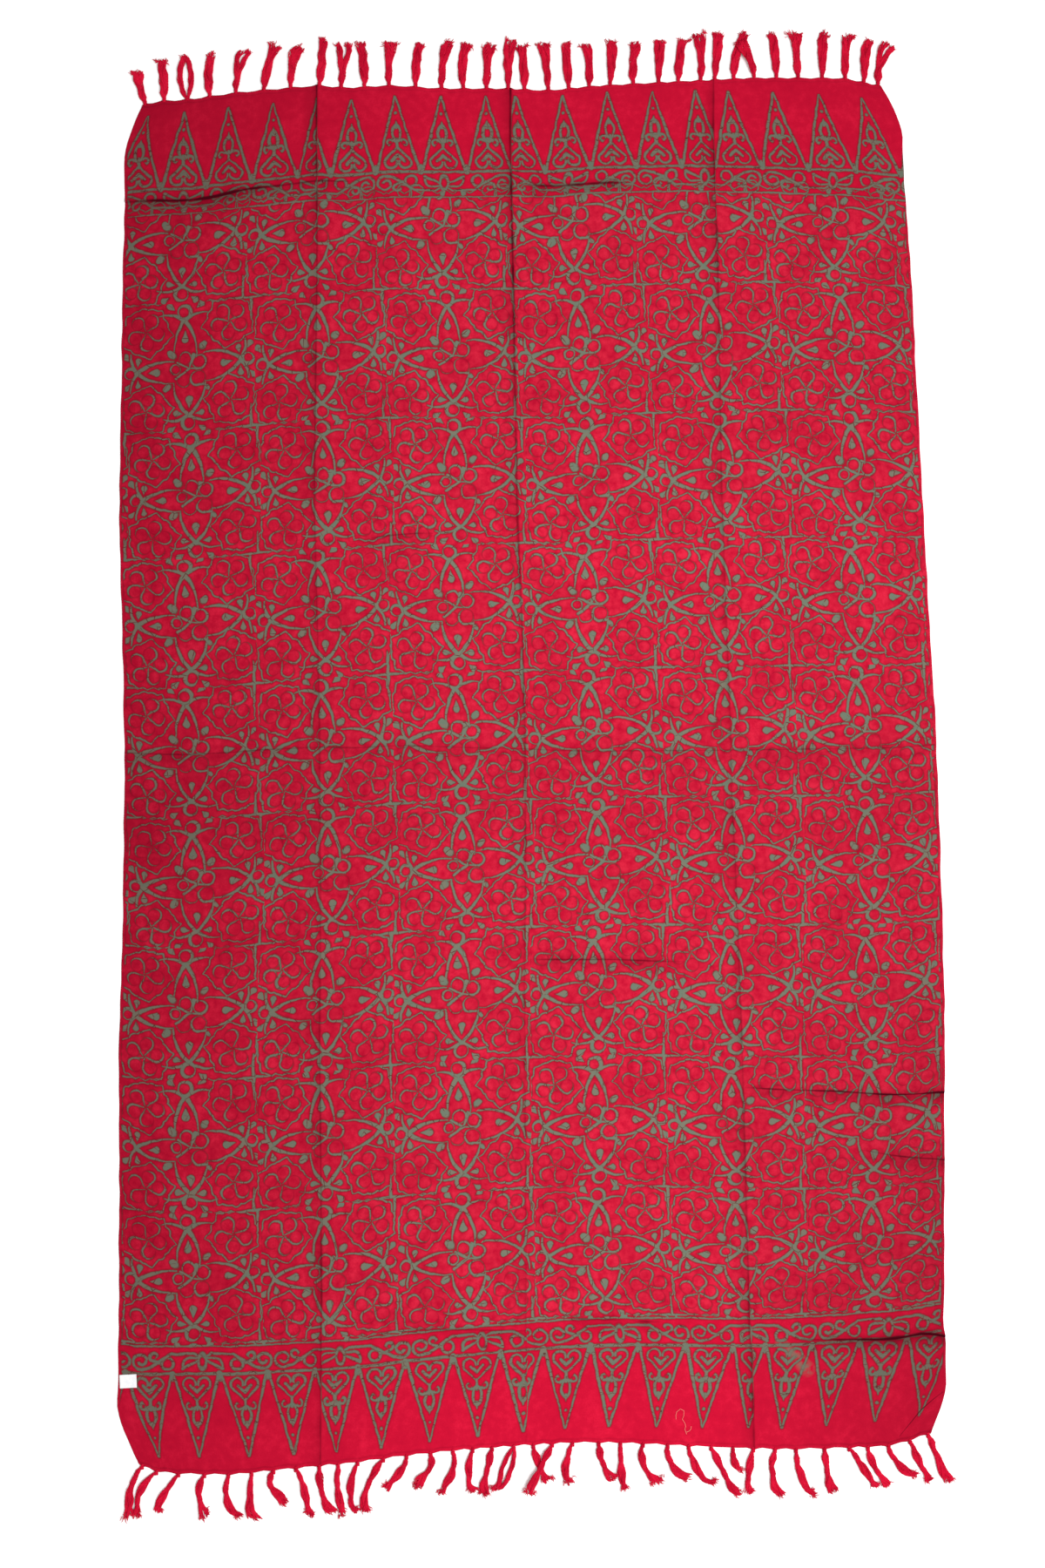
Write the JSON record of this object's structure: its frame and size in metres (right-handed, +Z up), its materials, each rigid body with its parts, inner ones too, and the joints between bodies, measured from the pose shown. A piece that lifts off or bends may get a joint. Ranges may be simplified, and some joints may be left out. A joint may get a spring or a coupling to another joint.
{
  "type": "batik sarong, laid flat",
  "caption": "Rectangular batik wrap cloth laid flat, with soft fold ridges, a tied yarn fringe along both short ends and a small sewn-on label.",
  "frame": {"origin": "middle of the bounding box's base, on the surface that the cloth lies on", "axes": "+X across the cloth to the right selvedge seen from above, +Y along the cloth to its head end, +Z up"},
  "size_m": [1.1288, 2.0398, 0.0064],
  "materials": {
    "cloth": "thin red rayon with a grey-green stamped wax-resist print, matt with a faint sheen",
    "label": "plain white woven tape",
    "fringe": "loose red rayon yarn"
  },
  "bodies": {
    "root": {"cloth": "cloth", "label": "label", "fringe_top": "fringe", "fringe_bottom": "fringe"}
  },
  "joints": []
}
